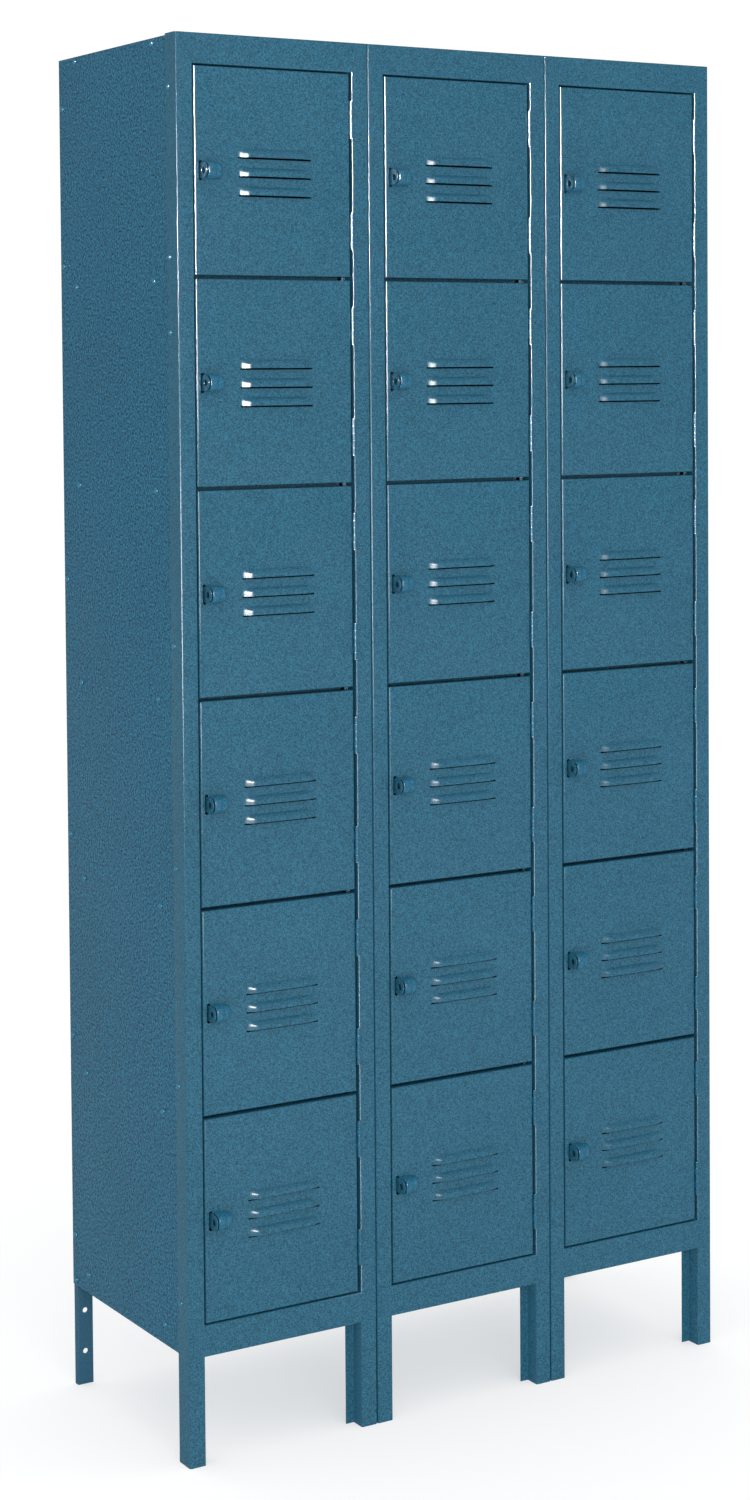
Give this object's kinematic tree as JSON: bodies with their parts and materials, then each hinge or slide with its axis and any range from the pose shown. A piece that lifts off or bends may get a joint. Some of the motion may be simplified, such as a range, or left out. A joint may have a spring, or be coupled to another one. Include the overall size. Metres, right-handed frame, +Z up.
{
  "type": "locker cabinet",
  "caption": "Free-standing steel box locker on legs: side-by-side bays of small hinged doors with louvers, pull hoods and padlock lugs.",
  "frame": {"origin": "on the floor, at the middle of the outline in plan", "axes": "+Z up; the doors face -Y; +X is to the right of a person facing the doors"},
  "size_m": [0.9144, 0.4018, 1.9812],
  "materials": {
    "frame_enamel": "satin blue baked enamel, fine orange-peel grain",
    "door_enamel": "satin blue baked enamel, fine orange-peel grain",
    "pull_enamel": "satin blue baked enamel, slightly glossier from handling",
    "shelf_enamel": "satin blue baked enamel",
    "body_enamel": "satin blue baked enamel"
  },
  "bodies": {
    "cabinet": {"front_frame_A": "frame_enamel", "shelf_A1": "shelf_enamel", "shelf_A2": "shelf_enamel", "shelf_A3": "shelf_enamel", "shelf_A4": "shelf_enamel", "shelf_A5": "shelf_enamel", "front_frame_B": "frame_enamel", "shelf_B1": "shelf_enamel", "shelf_B2": "shelf_enamel", "shelf_B3": "shelf_enamel", "shelf_B4": "shelf_enamel", "shelf_B5": "shelf_enamel", "front_frame_C": "frame_enamel", "shelf_C1": "shelf_enamel", "shelf_C2": "shelf_enamel", "shelf_C3": "shelf_enamel", "shelf_C4": "shelf_enamel", "shelf_C5": "shelf_enamel", "side_panel_left": "body_enamel", "side_panel_right": "body_enamel", "divider_AB": "body_enamel", "divider_BC": "body_enamel", "bottom_sheet": "body_enamel", "back_and_top_sheet": "body_enamel"},
    "door_A1": {"door_A1": "door_enamel", "pull_A1": "pull_enamel"},
    "door_A2": {"door_A2": "door_enamel", "pull_A2": "pull_enamel"},
    "door_A3": {"door_A3": "door_enamel", "pull_A3": "pull_enamel"},
    "door_A4": {"door_A4": "door_enamel", "pull_A4": "pull_enamel"},
    "door_A5": {"door_A5": "door_enamel", "pull_A5": "pull_enamel"},
    "door_A6": {"door_A6": "door_enamel", "pull_A6": "pull_enamel"},
    "door_B1": {"door_B1": "door_enamel", "pull_B1": "pull_enamel"},
    "door_B2": {"door_B2": "door_enamel", "pull_B2": "pull_enamel"},
    "door_B3": {"door_B3": "door_enamel", "pull_B3": "pull_enamel"},
    "door_B4": {"door_B4": "door_enamel", "pull_B4": "pull_enamel"},
    "door_B5": {"door_B5": "door_enamel", "pull_B5": "pull_enamel"},
    "door_B6": {"door_B6": "door_enamel", "pull_B6": "pull_enamel"},
    "door_C1": {"door_C1": "door_enamel", "pull_C1": "pull_enamel"},
    "door_C2": {"door_C2": "door_enamel", "pull_C2": "pull_enamel"},
    "door_C3": {"door_C3": "door_enamel", "pull_C3": "pull_enamel"},
    "door_C4": {"door_C4": "door_enamel", "pull_C4": "pull_enamel"},
    "door_C5": {"door_C5": "door_enamel", "pull_C5": "pull_enamel"},
    "door_C6": {"door_C6": "door_enamel", "pull_C6": "pull_enamel"}
  },
  "joints": [
    {"name": "hinge_A1", "type": "hinge", "parent": "cabinet", "child": "door_A1", "pos_m": [-0.1813, -0.1817, 1.794], "axis": [0, 0, 1], "range_deg": [0, 150]},
    {"name": "hinge_A2", "type": "hinge", "parent": "cabinet", "child": "door_A2", "pos_m": [-0.1813, -0.1817, 1.5036], "axis": [0, 0, 1], "range_deg": [0, 150]},
    {"name": "hinge_A3", "type": "hinge", "parent": "cabinet", "child": "door_A3", "pos_m": [-0.1813, -0.1817, 1.2132], "axis": [0, 0, 1], "range_deg": [0, 150]},
    {"name": "hinge_A4", "type": "hinge", "parent": "cabinet", "child": "door_A4", "pos_m": [-0.1813, -0.1817, 0.9228], "axis": [0, 0, 1], "range_deg": [0, 150]},
    {"name": "hinge_A5", "type": "hinge", "parent": "cabinet", "child": "door_A5", "pos_m": [-0.1813, -0.1817, 0.6324], "axis": [0, 0, 1], "range_deg": [0, 150]},
    {"name": "hinge_A6", "type": "hinge", "parent": "cabinet", "child": "door_A6", "pos_m": [-0.1813, -0.1817, 0.342], "axis": [0, 0, 1], "range_deg": [0, 150]},
    {"name": "hinge_B1", "type": "hinge", "parent": "cabinet", "child": "door_B1", "pos_m": [0.124, -0.1817, 1.794], "axis": [0, 0, 1], "range_deg": [0, 150]},
    {"name": "hinge_B2", "type": "hinge", "parent": "cabinet", "child": "door_B2", "pos_m": [0.124, -0.1817, 1.5036], "axis": [0, 0, 1], "range_deg": [0, 150]},
    {"name": "hinge_B3", "type": "hinge", "parent": "cabinet", "child": "door_B3", "pos_m": [0.124, -0.1817, 1.2132], "axis": [0, 0, 1], "range_deg": [0, 150]},
    {"name": "hinge_B4", "type": "hinge", "parent": "cabinet", "child": "door_B4", "pos_m": [0.124, -0.1817, 0.9228], "axis": [0, 0, 1], "range_deg": [0, 150]},
    {"name": "hinge_B5", "type": "hinge", "parent": "cabinet", "child": "door_B5", "pos_m": [0.124, -0.1817, 0.6324], "axis": [0, 0, 1], "range_deg": [0, 150]},
    {"name": "hinge_B6", "type": "hinge", "parent": "cabinet", "child": "door_B6", "pos_m": [0.124, -0.1817, 0.342], "axis": [0, 0, 1], "range_deg": [0, 150]},
    {"name": "hinge_C1", "type": "hinge", "parent": "cabinet", "child": "door_C1", "pos_m": [0.4293, -0.1817, 1.794], "axis": [0, 0, 1], "range_deg": [0, 175]},
    {"name": "hinge_C2", "type": "hinge", "parent": "cabinet", "child": "door_C2", "pos_m": [0.4293, -0.1817, 1.5036], "axis": [0, 0, 1], "range_deg": [0, 175]},
    {"name": "hinge_C3", "type": "hinge", "parent": "cabinet", "child": "door_C3", "pos_m": [0.4293, -0.1817, 1.2132], "axis": [0, 0, 1], "range_deg": [0, 175]},
    {"name": "hinge_C4", "type": "hinge", "parent": "cabinet", "child": "door_C4", "pos_m": [0.4293, -0.1817, 0.9228], "axis": [0, 0, 1], "range_deg": [0, 175]},
    {"name": "hinge_C5", "type": "hinge", "parent": "cabinet", "child": "door_C5", "pos_m": [0.4293, -0.1817, 0.6324], "axis": [0, 0, 1], "range_deg": [0, 175]},
    {"name": "hinge_C6", "type": "hinge", "parent": "cabinet", "child": "door_C6", "pos_m": [0.4293, -0.1817, 0.342], "axis": [0, 0, 1], "range_deg": [0, 175]}
  ]
}
